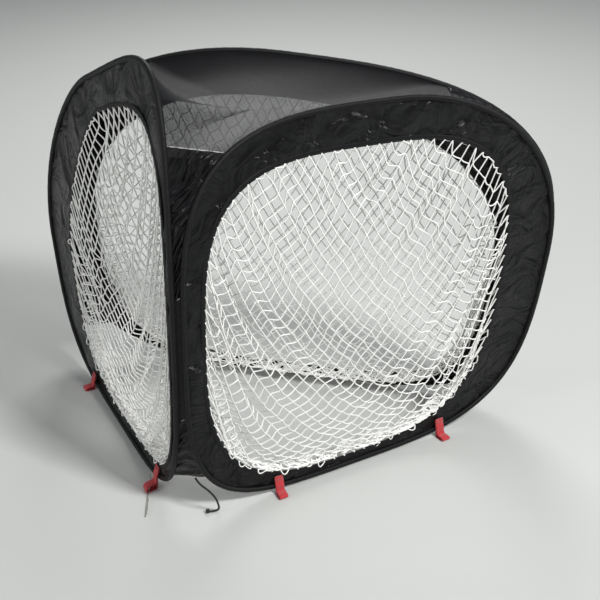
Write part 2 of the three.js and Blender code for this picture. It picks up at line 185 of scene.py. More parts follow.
# -------------------- the camera
def make_camera():
    spec = CAMERA
    azimuth = math.radians(spec["azimuth"])
    elevation = math.radians(spec["elevation"])
    level = math.cos(elevation)
    forward = Vector((-math.sin(azimuth) * level, math.cos(azimuth) * level, -math.sin(elevation)))
    target = Vector(spec["target"]) - Vector((*PLAN_MIDDLE, 0.0))
    camera = bpy.data.objects.new("camera", bpy.data.cameras.new("camera"))
    bpy.context.scene.collection.objects.link(camera)
    camera.location = target - forward * spec["distance"]
    camera.rotation_euler = forward.to_track_quat("-Z", "Y").to_euler()
    camera.rotation_euler.rotate_axis("Z", math.radians(spec["roll"]))
    camera.data.lens = spec["lens"]
    camera.data.sensor_width = 36.0
    camera.data.shift_x, camera.data.shift_y = spec["shift"]
    camera.data.clip_end = 50
    bpy.context.scene.camera = camera


make_camera()


# -------------------- panels and hoops
def unit(v):
    return v / np.maximum(np.linalg.norm(v, axis=-1, keepdims=True), 1e-12)


def superellipse_reach(half, squareness, angle):
    """How far a superellipse reaches in the direction of an angle; one exponent per quarter."""
    c, s = np.cos(angle), np.sin(angle)
    n = np.where(
        s >= 0,
        np.where(c >= 0, squareness[0], squareness[1]),
        np.where(c < 0, squareness[2], squareness[3]),
    )
    return (np.abs(c / half[0]) ** n + np.abs(s / half[1]) ** n) ** (-1 / n)


class Panel:
    """One side of the net: a ruled surface between two leaning corner lines, drawn flat in metres."""

    def __init__(self, name):
        self.name = name
        self.spec = HOOPS[name]
        self.body = f"{name}_panel"
        near, far = (CORNERS[end] for end in self.spec["ends"])
        shift = np.array([PLAN_MIDDLE[0], PLAN_MIDDLE[1]])
        foot = [np.array(end["foot"]) - shift for end in (near, far)]
        span = np.linalg.norm(foot[1] - foot[0])
        self.first = near["setback"] / span
        self.last = 1 - far["setback"] / span
        self.feet = [np.array([*f, HOOP_LOWEST]) for f in foot]
        self.rise = [
            np.array([*end["lean"], height])
            for end, height in zip((near, far), self.spec["heights"])
        ]
        self.size = np.array([span * (self.last - self.first), sum(self.spec["heights"]) / 2])
        self.sign = 1.0
        if np.dot(self.outward(0.5, 0.5)[:2], self.ruled(0.5, 0.5)[:2]) <= 0:
            self.sign = -1.0
        self.draw_hoop()

    def ruled(self, s, t):
        """The points of the panel at fractions of its width and height."""
        s, t = np.asarray(s, float)[..., None], np.asarray(t, float)[..., None]
        across = self.first + s * (self.last - self.first)
        near = self.feet[0] + self.rise[0] * t
        far = self.feet[1] + self.rise[1] * t
        return near * (1 - across) + far * across

    def slopes(self, s, t):
        """How the panel's points move per unit of each fraction."""
        s, t = np.asarray(s, float)[..., None], np.asarray(t, float)[..., None]
        share = self.last - self.first
        across = self.first + s * share
        width = (self.feet[1] + self.rise[1] * t - self.feet[0] - self.rise[0] * t) * share
        height = self.rise[0] * (1 - across) + self.rise[1] * across
        return width, height

    def outward(self, s, t):
        width, height = self.slopes(s, t)
        return unit(np.cross(width, height)) * self.sign

    def lay(self, flat, lift=0.0):
        """The points of the panel at flat drawing positions, lifted outwards off its surface."""
        s, t = flat[..., 0] / self.size[0], flat[..., 1] / self.size[1]
        lift = np.asarray(lift, float)
        return self.ruled(s, t) + self.outward(s, t) * lift[..., None]

    def draw_hoop(self):
        """Draws the hoop's outline flat, from the middle of its bottom, and measures along it."""
        samples = 1600
        angle = -math.pi / 2 + np.arange(samples + 1) / samples * TURN
        reach = superellipse_reach((0.5, 0.5), self.spec["squareness"], angle)
        outline = 0.5 + reach[:, None] * np.stack([np.cos(angle), np.sin(angle)], 1)
        self.outline = outline * self.size
        steps = np.linalg.norm(np.diff(self.outline, axis=0), axis=1)
        self.along = np.concatenate([[0], np.cumsum(steps)])
        self.length = self.along[-1]

    def hoop_flat(self, u, inset=0.0):
        """Flat points of the hoop at fractions of its length, moved inwards by the inset."""
        u = np.asarray(u, float) % 1.0
        nudge = 0.002

        def at(fraction):
            d = (fraction % 1.0) * self.length
            return np.stack([np.interp(d, self.along, self.outline[:, k]) for k in (0, 1)], -1)

        tangent = unit(at(u + nudge) - at(u - nudge))
        inward = np.stack([-tangent[..., 1], tangent[..., 0]], -1)
        return at(u) + inward * np.asarray(inset, float)[..., None]

    def hoop(self, u, inset=0.0, lift=0.0):
        return self.lay(self.hoop_flat(u, inset), lift)

    def opening(self, angle, margin=0.0):
        """Flat points of the opening's edge in the directions of the angles from its centre."""
        opening = self.spec["opening"]
        half = np.array(opening["half"]) * self.size
        reach = superellipse_reach(half, opening["squareness"], angle)
        direction = np.stack([np.cos(angle), np.sin(angle)], -1)
        return self.opening_centre() + direction * (reach + margin)[..., None]

    def opening_centre(self):
        return np.array(self.spec["opening"]["centre"]) * self.size

    def hoop_rise(self, fraction):
        """The height fraction of the hoop's lower edge at a fraction of the panel's width."""
        x = 2 * fraction - 1
        n = self.spec["squareness"][2 if x < 0 else 3]
        return 0.5 - 0.5 * (1 - abs(x) ** n) ** (1 / n)


panels = {name: Panel(name) for name in HOOPS}


# -------------------- mesh helpers
def add_mesh(name, verts, quads, uv, tris=()):
    """A smooth mesh of quads and perhaps triangles, with its cloth coordinates in metres."""
    tris = np.asarray(tris, np.int64).reshape(-1, 3)
    corners = np.concatenate([quads.ravel(), tris.ravel()])
    totals = np.concatenate([np.full(len(quads), 4), np.full(len(tris), 3)]).astype(np.int32)
    starts = np.concatenate([[0], np.cumsum(totals)[:-1]]).astype(np.int32)
    mesh = bpy.data.meshes.new(name)
    mesh.vertices.add(len(verts))
    mesh.vertices.foreach_set("co", np.asarray(verts, np.float32).ravel())
    mesh.loops.add(len(corners))
    mesh.loops.foreach_set("vertex_index", corners.astype(np.int32))
    mesh.polygons.add(len(totals))
    mesh.polygons.foreach_set("loop_start", starts)
    mesh.polygons.foreach_set("loop_total", totals)
    mesh.update(calc_edges=True)
    layer = mesh.uv_layers.new(name="cloth")
    layer.data.foreach_set("uv", np.asarray(uv, np.float32)[corners].ravel())
    mesh.polygons.foreach_set("use_smooth", np.full(len(totals), True))
    obj = bpy.data.objects.new(name, mesh)
    bpy.context.scene.collection.objects.link(obj)
    return obj


def grid_faces(rows, columns, wrap_rows=False, wrap_columns=False):
    """The quads of a grid of points, closed on itself along its rows or columns if asked."""
    i = np.arange(rows if wrap_rows else rows - 1)
    j = np.arange(columns if wrap_columns else columns - 1)
    i, j = np.meshgrid(i, j, indexing="ij")
    a = (i * columns + j).ravel()
    b = (((i + 1) % rows) * columns + j).ravel()
    c = (((i + 1) % rows) * columns + (j + 1) % columns).ravel()
    d = (i * columns + (j + 1) % columns).ravel()
    return np.stack([a, b, c, d], 1)


def sweep(path, reference, radius, sides, closed=False):
    """Rings round a path, oriented by a reference direction at each point. The radius is one
    number, one for each point, or one for each point of each ring."""
    if closed:
        tangent = np.roll(path, -1, 0) - np.roll(path, 1, 0)
    else:
        tangent = np.gradient(path, axis=0)
    tangent = unit(tangent)
    side = unit(np.cross(tangent, reference))
    top = np.cross(side, tangent)
    angle = np.arange(sides) / sides * TURN
    ring = side[:, None] * np.cos(angle)[None, :, None] + top[:, None] * np.sin(angle)[None, :, None]
    radius = np.asarray(radius, float)
    if radius.ndim == 1:
        radius = radius[:, None]
    return path[:, None] + ring * np.broadcast_to(radius, (len(path), sides))[..., None]


def tube_object(name, path, reference, radius, sides, closed=False):
    """A tube along a path: a ring if it is closed, and otherwise capped at both ends."""
    n = len(path)
    girth = 0.03
    verts = sweep(path, reference, radius, sides, closed).reshape(-1, 3)
    along = np.concatenate([[0], np.cumsum(np.linalg.norm(np.diff(path, axis=0), axis=1))])
    uv = np.stack(np.meshgrid(along, np.arange(sides) / sides * girth, indexing="ij"), -1).reshape(-1, 2)
    quads = grid_faces(n, sides, wrap_rows=closed, wrap_columns=True)
    if closed:
        return add_mesh(name, verts, quads, uv)
    start, end = len(verts), len(verts) + 1
    verts = np.concatenate([verts, path[:1], path[-1:]])
    uv = np.concatenate([uv, uv[:1], uv[-1:]])
    j = np.arange(sides)
    k = (j + 1) % sides
    last = (n - 1) * sides
    start_cap = np.stack([j, k, np.full(sides, start)], 1)
    end_cap = np.stack([last + k, last + j, np.full(sides, end)], 1)
    return add_mesh(name, verts, quads, uv, np.concatenate([start_cap, end_cap]))


def waves(x, y, seed, count, scale):
    """Smooth seeded undulation, about 1 high, made of a few waves of about the given size."""
    rng = np.random.default_rng(seed)
    total = np.zeros_like(x)
    for _ in range(count):
        angle = rng.uniform(0, TURN)
        frequency = TURN / (scale * rng.uniform(0.6, 1.6))
        phase = rng.uniform(0, TURN)
        total += np.sin((x * math.cos(angle) + y * math.sin(angle)) * frequency + phase)
    return total / math.sqrt(count)


# -------------------- materials
def new_material(name, color, roughness, sheen=0.0, metallic=0.0, specular=0.5):
    material = bpy.data.materials.new(name)
    material.use_nodes = True
    shader = material.node_tree.nodes["Principled BSDF"]
    shader.inputs["Base Color"].default_value = (*color, 1)
    shader.inputs["Roughness"].default_value = roughness
    shader.inputs["Metallic"].default_value = metallic
    shader.inputs["Sheen Weight"].default_value = sheen
    shader.inputs["Specular IOR Level"].default_value = specular
    return material, material.node_tree, shader


def add_node(tree, kind, **settings):
    node = tree.nodes.new(kind)
    for key, value in settings.items():
        if key in node.inputs:
            node.inputs[key].default_value = value
        else:
            setattr(node, key, value)
    return node


def cloth_uv(tree):
    return add_node(tree, "ShaderNodeUVMap", uv_map="cloth").outputs[0]


def band(tree, vector, axis, scale):
    """A thread pattern: fine parallel ridges across the cloth, or slanting over it."""
    wave = add_node(tree, "ShaderNodeTexWave", wave_type="BANDS", bands_direction=axis, Scale=scale)
    tree.links.new(vector, wave.inputs["Vector"])
    return wave.outputs["Fac"]


def math_node(tree, operation, a, b=None):
    node = add_node(tree, "ShaderNodeMath", operation=operation)
    for k, value in enumerate((a, b)):
        if value is None:
            continue
        if isinstance(value, (int, float)):
            node.inputs[k].default_value = value
        else:
            tree.links.new(value, node.inputs[k])
    return node.outputs[0]


def bump(tree, shader, height, distance, strength=1.0, after=None):
    node = add_node(tree, "ShaderNodeBump", Strength=strength, Distance=distance)
    tree.links.new(height, node.inputs["Height"])
    if after is not None:
        tree.links.new(after, node.inputs["Normal"])
    tree.links.new(node.outputs[0], shader.inputs["Normal"])
    return node.outputs[0]


def speckle(tree, vector, scale, detail, distortion=0.0):
    """A cloudy pattern."""
    noise = add_node(tree, "ShaderNodeTexNoise", Scale=scale, Detail=detail, Distortion=distortion)
    tree.links.new(vector, noise.inputs["Vector"])
    return noise.outputs["Fac"]


def vary(tree, shader, vector, color, amount, scale):
    """Slight uneven shade over the cloth."""
    noise = speckle(tree, vector, scale, 4.0)
    ramp = add_node(tree, "ShaderNodeValToRGB")
    ramp.color_ramp.elements[0].position = 0.3
    ramp.color_ramp.elements[0].color = (*[c * (1 - amount) for c in color], 1)
    ramp.color_ramp.elements[1].position = 0.7
    ramp.color_ramp.elements[1].color = (*[min(1, c * (1 + amount)) for c in color], 1)
    tree.links.new(noise, ramp.inputs[0])
    tree.links.new(ramp.outputs[0], shader.inputs["Base Color"])
    return noise


def make_taffeta():
    """Shiny plain-woven black polyester with fine creases."""
    color = (0.0024, 0.0024, 0.0030)
    material, tree, shader = new_material("black_taffeta", color, 0.29, specular=0.26)
    uv = cloth_uv(tree)
    vary(tree, shader, uv, color, 0.35, 9.0)
    warp = band(tree, uv, "X", 900.0)
    weft = band(tree, uv, "Y", 900.0)
    weave = math_node(tree, "MULTIPLY", warp, weft)
    first = bump(tree, shader, speckle(tree, uv, 13.0, 3.0, 1.4), 0.022, 1.0)
    second = bump(tree, shader, speckle(tree, uv, 42.0, 4.0, 0.8), 0.0020, 0.8, after=first)
    bump(tree, shader, weave, 0.0002, 0.35, after=second)
    return material


def make_binding():
    """Black ribbed tape with puckers along it."""
    color = (0.0028, 0.0028, 0.0034)
    material, tree, shader = new_material("black_binding", color, 0.5, sheen=0.01, specular=0.25)
    uv = cloth_uv(tree)
    vary(tree, shader, uv, color, 0.3, 14.0)
    ribs = band(tree, uv, "X", 420.0)
    first = bump(tree, shader, speckle(tree, uv, 120.0, 3.0), 0.0012, 0.7)
    bump(tree, shader, ribs, 0.0003, 0.5, after=first)
    return material


def make_mesh_cloth():
    """Fine black see-through mesh: threads both ways with open holes between them."""
    color = (0.004, 0.004, 0.005)
    material, tree, shader = new_material("black_mesh", color, 0.6, sheen=0.01, specular=0.2)
    uv = cloth_uv(tree)
    warp = math_node(tree, "GREATER_THAN", band(tree, uv, "X", 420.0), 0.35)
    weft = math_node(tree, "GREATER_THAN", band(tree, uv, "Y", 420.0), 0.35)
    threads = math_node(tree, "MAXIMUM", warp, weft)
    tree.links.new(threads, shader.inputs["Alpha"])
    return material


def make_twine():
    """White twisted netting twine."""
    color = (0.86, 0.86, 0.83)
    material, tree, shader = new_material("white_twine", color, 0.7, sheen=0.3)
    uv = cloth_uv(tree)
    vary(tree, shader, uv, color, 0.08, 40.0)
    bump(tree, shader, band(tree, uv, "DIAGONAL", 160.0), 0.0004, 0.7)
    return material


def make_webbing():
    """Red ribbed webbing, with painted shade darkening it in the grooves between the ribs."""
    color = (0.62, 0.020, 0.028)
    material, tree, shader = new_material("red_webbing", color, 0.65, sheen=0.35)
    uv = cloth_uv(tree)
    ribs = band(tree, uv, "X", 210.0)
    lengthwise = band(tree, uv, "Y", 120.0)
    weave = math_node(tree, "MULTIPLY", ribs, lengthwise)
    # Painted shade: the ramp darkens the red where the weave's height is low, in the grooves between the
    # ribs.
    ramp = add_node(tree, "ShaderNodeValToRGB")
    ramp.color_ramp.elements[0].color = (0.40, 0.010, 0.016, 1)
    ramp.color_ramp.elements[1].color = (0.70, 0.028, 0.036, 1)
    tree.links.new(weave, ramp.inputs[0])
    tree.links.new(ramp.outputs[0], shader.inputs["Base Color"])
    bump(tree, shader, weave, 0.0006, 0.8)
    return material


def make_wire(name, color, roughness):
    """Drawn wire with faint lengthwise marks and dull patches."""
    material, tree, shader = new_material(name, color, roughness, metallic=1.0)
    coordinates = add_node(tree, "ShaderNodeTexCoord").outputs["Object"]
    noise = vary(tree, shader, coordinates, color, 0.25, 90.0)
    bump(tree, shader, noise, 0.0002, 0.4)
    return material


def make_cord_material():
    """Black braided cord."""
    color = (0.006, 0.006, 0.007)
    material, tree, shader = new_material("black_cord", color, 0.7, sheen=0.05)
    uv = cloth_uv(tree)
    vary(tree, shader, uv, color, 0.3, 60.0)
    bump(tree, shader, band(tree, uv, "DIAGONAL", 130.0), 0.0007, 0.8)
    return material


TAFFETA = make_taffeta()
BINDING = make_binding()
MESH_CLOTH = make_mesh_cloth()
TWINE = make_twine()
WEBBING = make_webbing()
SPRING = make_wire("spring_steel", (0.34, 0.35, 0.36), 0.35)
ZINC = make_wire("zinc_wire", (0.66, 0.65, 0.60), 0.38)
CORD = make_cord_material()


def finish_piece(obj, material, slot, *nodes):
    obj.data.materials.clear()
    obj.data.materials.append(material)
    if nodes:
        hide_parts(*nodes)
    return obj


# -------------------- sleeves
def make_sleeve(panel):
    """A folded fabric tube round the hoop, puckered along its seam."""
    samples, sides = 420, 14
    u = np.arange(samples) / samples
    path = panel.hoop(u)
    flat = panel.hoop_flat(u)
    reference = panel.outward(flat[:, 0] / panel.size[0], flat[:, 1] / panel.size[1])
    angle = np.arange(sides) / sides * TURN
    along = u[:, None] * panel.length
    depth = 0.05
    fine, coarse, drift = 420, 171, 37  # radians per metre of hoop
    rng = np.random.default_rng(len(panel.name))
    phase = rng.uniform(0, 6, 3)
    pucker = np.sin(along * fine + phase[0] + 1.5 * np.sin(along * drift)) * 0.6
    pucker = pucker + np.sin(along * coarse + phase[1]) * 0.4
    seam_side = 0.4 + 0.6 * np.cos(angle - phase[2])[None, :] ** 2
    radius = SLEEVE_R * (1 + depth * pucker * seam_side)
    obj = tube_object(f"{panel.name}_sleeve", path, reference, radius, sides, closed=True)
    finish_piece(obj, BINDING, "black_sleeve", f"{panel.name}_hoop_sleeve")
    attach(obj, panel.body)


# -------------------- borders and hems
def border_drape(panel, flat, outer_share):
    """How far the loose border stands off its plane: soft waves and creases that fan from the
    corners of the opening to the hoop. It is still at both of its sewn edges."""
    x, y = flat[..., 0], flat[..., 1]
    centre = panel.opening_centre()
    angle = np.arctan2(y - centre[1], x - centre[0])
    held = np.sin(np.pi * outer_share) ** 0.8
    seed = {"left": 3, "right": 5, "back": 8}[panel.name]
    slow = waves(x, y, seed, 5, 0.16) * WAVE_HEIGHT
    rng = np.random.default_rng(seed + 20)
    fan = np.zeros_like(x)
    for _ in range(CREASES):
        at = rng.uniform(-math.pi, math.pi)
        lean = rng.uniform(-0.35, 0.35)
        width = rng.uniform(0.012, 0.035)
        away = np.angle(np.exp(1j * (angle - at - lean * (outer_share - 0.5))))
        fan += rng.uniform(-1, 1) * np.exp(-((away / width) ** 2))
    return held * (slow + fan * CREASE_HEIGHT)


def make_border(panel):
    around, across = 420, 14
    u = np.arange(around) / around
    outer = panel.hoop_flat(u, BORDER_INSET)
    centre = panel.opening_centre()
    angle = np.arctan2(outer[:, 1] - centre[1], outer[:, 0] - centre[0])
    inner = panel.opening(angle, HEM_WIDTH * 0.5)
    share = np.linspace(0, 1, across)
    flat = inner[:, None] * (1 - share)[None, :, None] + outer[:, None] * share[None, :, None]
    lift = border_drape(panel, flat, np.broadcast_to(share, flat.shape[:2]))
    verts = panel.lay(flat, lift).reshape(-1, 3)
    faces = grid_faces(around, across, wrap_rows=True)
    obj = add_mesh(f"{panel.name}_border", verts, faces, flat.reshape(-1, 2))
    finish_piece(obj, TAFFETA, "black_polyester", f"{panel.name}_border_panel")
    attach(obj, panel.body)
    hem = make_hem(panel)


def make_hem(panel):
    """The opening's turned edge: a slim rolled band, rippled by its stitching."""
    around, sides = 420, 10
    fine, coarse = 230, 61  # ripples round the opening
    mean_radius, girth = 0.3, 0.002
    angle = np.arange(around) / around * TURN
    section = np.linspace(0, TURN, sides, endpoint=False)
    wide = 0.5 * HEM_WIDTH * (1 + np.cos(section))
    thick = 0.5 * HEM_THICKNESS * np.sin(section)
    ripple = 1 + 0.12 * np.sin(angle * fine) + 0.10 * np.sin(angle * coarse)
    flat = np.stack([panel.opening(angle, wide[k]) for k in range(sides)], 1)
    lift = thick[None, :] * ripple[:, None]
    verts = panel.lay(flat, lift).reshape(-1, 3)
    uv = np.stack(np.meshgrid(angle * mean_radius, section * girth, indexing="ij"), -1)
    faces = grid_faces(around, sides, wrap_rows=True, wrap_columns=True)
    obj = add_mesh(f"{panel.name}_hem", verts, faces, uv.reshape(-1, 2))
    finish_piece(obj, BINDING, "black_polyester", f"{panel.name}_opening_hem")
    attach(obj, panel.body)
    return obj


# -------------------- nets
def net_lattice(panel):
    """Knots of a diamond net laid out larger than its opening, which of them are tied to it, and
    the bars between them, in groups in which no knot has more than one bar."""
    rim = 0.995
    cell = np.array(panel.spec["cell"])
    slack = np.array(panel.spec["slack"])
    half = np.array(panel.spec["opening"]["half"]) * panel.size * slack
    columns = int(2 * half[0] / cell[0]) + 2
    rows = int(2 * half[1] / cell[1]) + 2
    knots = {}
    for i in range(-columns, columns + 1):
        for j in range(-rows, rows + 1):
            if (i + j) % 2:
                continue
            offset = np.array([i * cell[0] / 2, j * cell[1] / 2]) / slack
            angle = math.atan2(offset[1], offset[0])
            edge = panel.opening(np.array([angle]))[0] - panel.opening_centre()
            if np.linalg.norm(offset) <= np.linalg.norm(edge) * rim:
                knots[(i, j)] = offset
    index = {key: n for n, key in enumerate(knots)}
    offsets = np.array(list(knots.values()))
    tied = np.array(
        [any((i + a, j + b) not in index for a in (-1, 1) for b in (-1, 1)) for i, j in knots]
    )
    bars = {}
    for (i, j), n in index.items():
        for turn in (1, -1):
            other = index.get((i + 1, j + turn))
            if other is not None:
                bars.setdefault((turn, i % 2), []).append((n, other))
    return index, offsets, tied, [np.array(group) for group in bars.values()]


def lay_out_net(panel, offsets, tied, rng):
    """The knots' flat places and their starting points, bagging behind the opening."""
    centre = panel.opening_centre()
    angle = np.arctan2(offsets[:, 1], offsets[:, 0])
    edge = np.linalg.norm(panel.opening(angle) - centre, axis=1)
    share = np.linalg.norm(offsets, axis=1) / edge
    on_hem = 0.001
    flat = centre + offsets
    flat[tied] = panel.opening(angle[tied], on_hem)
    start = 0.004
    lift = -start - HANG["bag"] * (1 - share**2) + rng.normal(0, HANG["unevenness"], len(flat))
    lift[tied] = 0.0
    return flat, panel.lay(flat, lift)


def hold_bars(place, pinned, tied, weight, bars):
    """Brings every bar back between its packed and its full length."""
    tiny = 1e-9
    for pair in bars:
        a, b = pair[:, 0], pair[:, 1]
        gap = place[b] - place[a]
        long = np.linalg.norm(gap, axis=1)
        error = long - np.clip(long, PACKED * BAR, BAR) + HANG["spring"] * (long - BAR)
        total = weight[a] + weight[b] + tiny
        move = (error / np.maximum(long, tiny) / total)[:, None] * gap
        place[a] += move * weight[a][:, None]
        place[b] -= move * weight[b][:, None]
    place[tied] = pinned


def hang_net(panel, offsets, tied, bars):
    """Lets the knots fall with bars of fixed length, tied to the hem at the rim and held behind
    the opening, until the spare netting has gathered along the bottom."""
    rng = np.random.default_rng(11)
    flat, place = lay_out_net(panel, offsets, tied, rng)
    pinned = place[tied].copy()
    free = ~tied
    st = flat / panel.size
    speed = np.zeros_like(place)
    fall = np.array([0, 0, -HANG["fall"]])
    pace = HANG["pace"]
    steps = HANG["steps"]
    weight = np.where(tied, 0.0, 1.0)
    for step in range(steps):
        before = place.copy()
        speed[free] += fall * pace
        speed[free] += rng.normal(0, HANG["stir"], (free.sum(), 3)) * (1 - step / steps)
        place[free] += speed[free] * pace
        for _ in range(HANG["passes"]):
            hold_bars(place, pinned, tied, weight, bars)
        st, place = keep_behind(panel, st, place, free)
        speed = (place - before) / pace * HANG["drag"]
    return settle(panel, st, place, free)


def settle(panel, st, place, free):
    """Sinks the netting towards the bottom of the opening, where it bunches along the hem."""
    opening = panel.spec["opening"]
    low = opening["centre"][1] - opening["half"][1]
    tall = 2 * opening["half"][1]
    sunk = st.copy()
    sunk[:, 1] = low + tall * np.clip((st[:, 1] - low) / tall, 0, 1) ** SETTLED
    sunk_place = place + panel.ruled(sunk[:, 0], sunk[:, 1]) - panel.ruled(st[:, 0], st[:, 1])
    place = np.where(free[:, None], sunk_place, place)
    return keep_behind(panel, sunk, place, free)[1]


def find_on_panel(panel, st, place):
    """Fractions of the panel under each point, found from nearby ones by Newton's method."""
    for _ in range(2):
        width, height = panel.slopes(st[:, 0], st[:, 1])
        miss = place - panel.ruled(st[:, 0], st[:, 1])
        ww, wh, hh = (width**2).sum(1), (width * height).sum(1), (height**2).sum(1)
        mw, mh = (miss * width).sum(1), (miss * height).sum(1)
        scale = ww * hh - wh**2
        st = st + np.stack([(mw * hh - mh * wh) / scale, (mh * ww - mw * wh) / scale], 1)
    return st


def keep_behind(panel, st, place, free):
    """Keeps free knots inside the outline of the opening and on the inner side of its plane."""
    nearest = 0.002
    inside = 0.003
    st = find_on_panel(panel, st, place)
    surface = panel.ruled(st[:, 0], st[:, 1])
    normal = panel.outward(st[:, 0], st[:, 1])
    lift = np.clip(((place - surface) * normal).sum(1), -NET_DEPTH, -nearest)
    centre = panel.opening_centre()
    offset = st * panel.size - centre
    angle = np.arctan2(offset[:, 1], offset[:, 0])
    edge = np.linalg.norm(panel.opening(angle, -inside) - centre, axis=1)
    reach = np.maximum(np.linalg.norm(offset, axis=1), 1e-9)
    flat = centre + offset * np.minimum(1, edge / reach)[:, None]
    place = np.where(free[:, None], panel.lay(flat, lift), place)
    return flat / panel.size, place


def net_strands(index):
    """The unbroken diagonal runs of twine, each as a list of knot numbers."""
    strands = []
    for turn in (1, -1):
        for i, j in index:
            if (i - 1, j - turn) in index:
                continue
            run = []
            while (i, j) in index:
                run.append(index[(i, j)])
                i, j = i + 1, j + turn
            if len(run) > 1:
                strands.append(run)
    return strands


def smooth_run(points, parts):
    """A Catmull-Rom curve through the points."""
    p = np.concatenate([points[:1] * 2 - points[1:2], points, points[-1:] * 2 - points[-2:-1]])
    t = np.arange(parts)[None, :, None] / parts
    a, b, c, d = (p[k : len(p) - 3 + k][:, None] for k in range(4))
    square = (2 * a - 5 * b + 4 * c - d) * t**2
    cube = (3 * b - a - 3 * c + d) * t**3
    curve = 0.5 * (2 * b + (c - a) * t + square + cube)
    return np.concatenate([curve.reshape(-1, 3), points[-1:]])


def slack_run(points, parts, rng, normal):
    """A run of twine whose slack bars bow, mostly downwards, because they keep their length."""
    fullness = 0.9
    path = smooth_run(points, parts)
    gap = np.linalg.norm(np.diff(points, axis=0), axis=1)
    spare = np.clip(BAR - gap, 0, 0.5 * BAR)
    bow = fullness * np.sqrt(spare * BAR * 3 / 8)
    across = np.cross(normal, [0, 0, 1])
    toward = rng.normal(0, 0.5, (len(gap), 1)) * across + rng.normal(0, 0.4, (len(gap), 1)) * normal
    toward[:, 2] -= rng.uniform(0.2, 1.0, len(gap))
    t = np.arange(parts) / parts
    shape = (4 * t * (1 - t))[None, :, None]
    path[:-1] += ((bow[:, None] * unit(toward))[:, None] * shape).reshape(-1, 3)
    return path


def knot_lumps(place, first_vert):
    """A small eight-sided lump at each knot: its points and its triangles."""
    axes = np.array([[1, 0, 0], [-1, 0, 0], [0, 1, 0], [0, -1, 0], [0, 0, 1], [0, 0, -1]], float)
    upper = [[0, 2, 4], [2, 1, 4], [1, 3, 4], [3, 0, 4]]
    lower = [[2, 0, 5], [1, 2, 5], [3, 1, 5], [0, 3, 5]]
    verts = (place[:, None] + axes[None] * KNOT_R).reshape(-1, 3)
    starts = np.arange(len(place))[:, None, None] * len(axes)
    tris = (starts + np.array(upper + lower)[None]).reshape(-1, 3) + first_vert
    return verts, tris


def make_net(panel):
    index, offsets, tied, bars = net_lattice(panel)
    place = hang_net(panel, offsets, tied, bars)
    sides, parts = 5, 4
    side_width = 0.0015
    rng = np.random.default_rng(17)
    verts, quads, uvs, start = [], [], [], 0
    normal = panel.outward(0.5, 0.5)
    for run in net_strands(index):
        path = slack_run(place[run], parts, rng, normal)
        rings = sweep(path, np.broadcast_to(normal, path.shape), TWINE_R, sides)
        verts.append(rings.reshape(-1, 3))
        quads.append(grid_faces(len(path), sides, wrap_columns=True) + start)
        along = np.arange(len(path)) * BAR / parts
        round_twine = np.arange(sides) * side_width
        uvs.append(np.stack(np.meshgrid(along, round_twine, indexing="ij"), -1).reshape(-1, 2))
        start += len(path) * sides
    lumps, tris = knot_lumps(place, start)
    verts.append(lumps)
    uvs.append(np.zeros((len(lumps), 2)))
    name = f"{panel.name}_netting"
    obj = add_mesh(name, np.concatenate(verts), np.concatenate(quads), np.concatenate(uvs), tris)
    finish_piece(obj, TWINE, "white_net", f"{panel.name}_net")
    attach(obj, panel.body)


# -------------------- corners and top
def between(first, first_range, second, second_range, along, across, inset=0.004):
    """A grid of points from one hoop to another, over a stretch of each."""
    f = np.linspace(0, 1, along)
    a = first.hoop(first_range[0] + (first_range[1] - first_range[0]) * f)
    b = second.hoop(second_range[0] + (second_range[1] - second_range[0]) * f)
    gap = np.linalg.norm(b - a, axis=1, keepdims=True)
    start, end = a + (b - a) / gap * inset, b - (b - a) / gap * inset
    g = np.linspace(0, 1, across)[None, :, None]
    return start[:, None] * (1 - g) + end[:, None] * g


def strip_object(name, grid, drape, material, slot, node):
    along, across = grid.shape[:2]
    step_a = np.gradient(grid, axis=0)
    step_b = np.gradient(grid, axis=1)
    normal = unit(np.cross(step_a, step_b))
    length = np.cumsum(np.linalg.norm(step_a, axis=2), 0)
    breadth = np.cumsum(np.linalg.norm(step_b, axis=2), 1)
    placed = grid + normal * drape(length, breadth)[..., None]
    uv = np.stack([length, breadth], -1).reshape(-1, 2)
    obj = add_mesh(name, placed.reshape(-1, 3), grid_faces(along, across), uv)
    return finish_piece(obj, material, slot, node)


def gathers(seed, height, pitch, slant=0.0):
    """Folds that run across a strip, deepest in its middle. Slant turns them towards its length."""

    def drape(length, breadth):
        rng = np.random.default_rng(seed)
        whole = breadth[:, -1:]
        held = np.sin(np.pi * np.clip(breadth / whole, 0, 1)) ** 0.7
        drift = waves(length, breadth, seed, 4, pitch * 3)
        turns = (length + slant * breadth) / pitch
        fold = np.sin(TURN * turns + drift * 1.6 + rng.uniform(0, 6))
        return held * height * (0.75 * fold + 0.5 * drift)

    return drape


def make_corner(name, first, first_end, second, second_end, mount):
    """The cloth between two hoops: two gathered gussets, the seam between them and a hem."""
    a = PLACES[first.name][first_end]
    b = PLACES[second.name][second_end]
    seed = len(name) * 7
    hem_a = MESH_HEM_SHARE * np.sign(a[1] - a[0])
    hem_b = MESH_HEM_SHARE * np.sign(b[1] - b[0])
    long, short = (90, 26), (8, 80)
    pieces = [
        ("bottom_gusset", a[:2], b[:2], long, gathers(seed, 0.0022, 0.022)),
        ("seam_binding", a[1:3], b[1:3], long, gathers(seed + 1, 0.0006, 0.012)),
        ("top_gusset", a[2:], b[2:], long, gathers(seed + 2, 0.0036, 0.026, -1.3)),
        ("mesh_hem", (a[3] - hem_a, a[3]), (b[3] - hem_b, b[3]), short, gathers(seed + 3, 0.0012, 0.05)),
    ]
    for part, on_first, on_second, fineness, drape in pieces:
        grid = between(first, on_first, second, on_second, *fineness)
        loose = part.endswith("gusset")
        material, slot = (TAFFETA, "black_polyester") if loose else (BINDING, "black_sleeve")
        node = f"{name}_{part}"
        obj = strip_object(f"{node}_cloth", grid, drape, material, slot, node)
        mount(obj, grid)


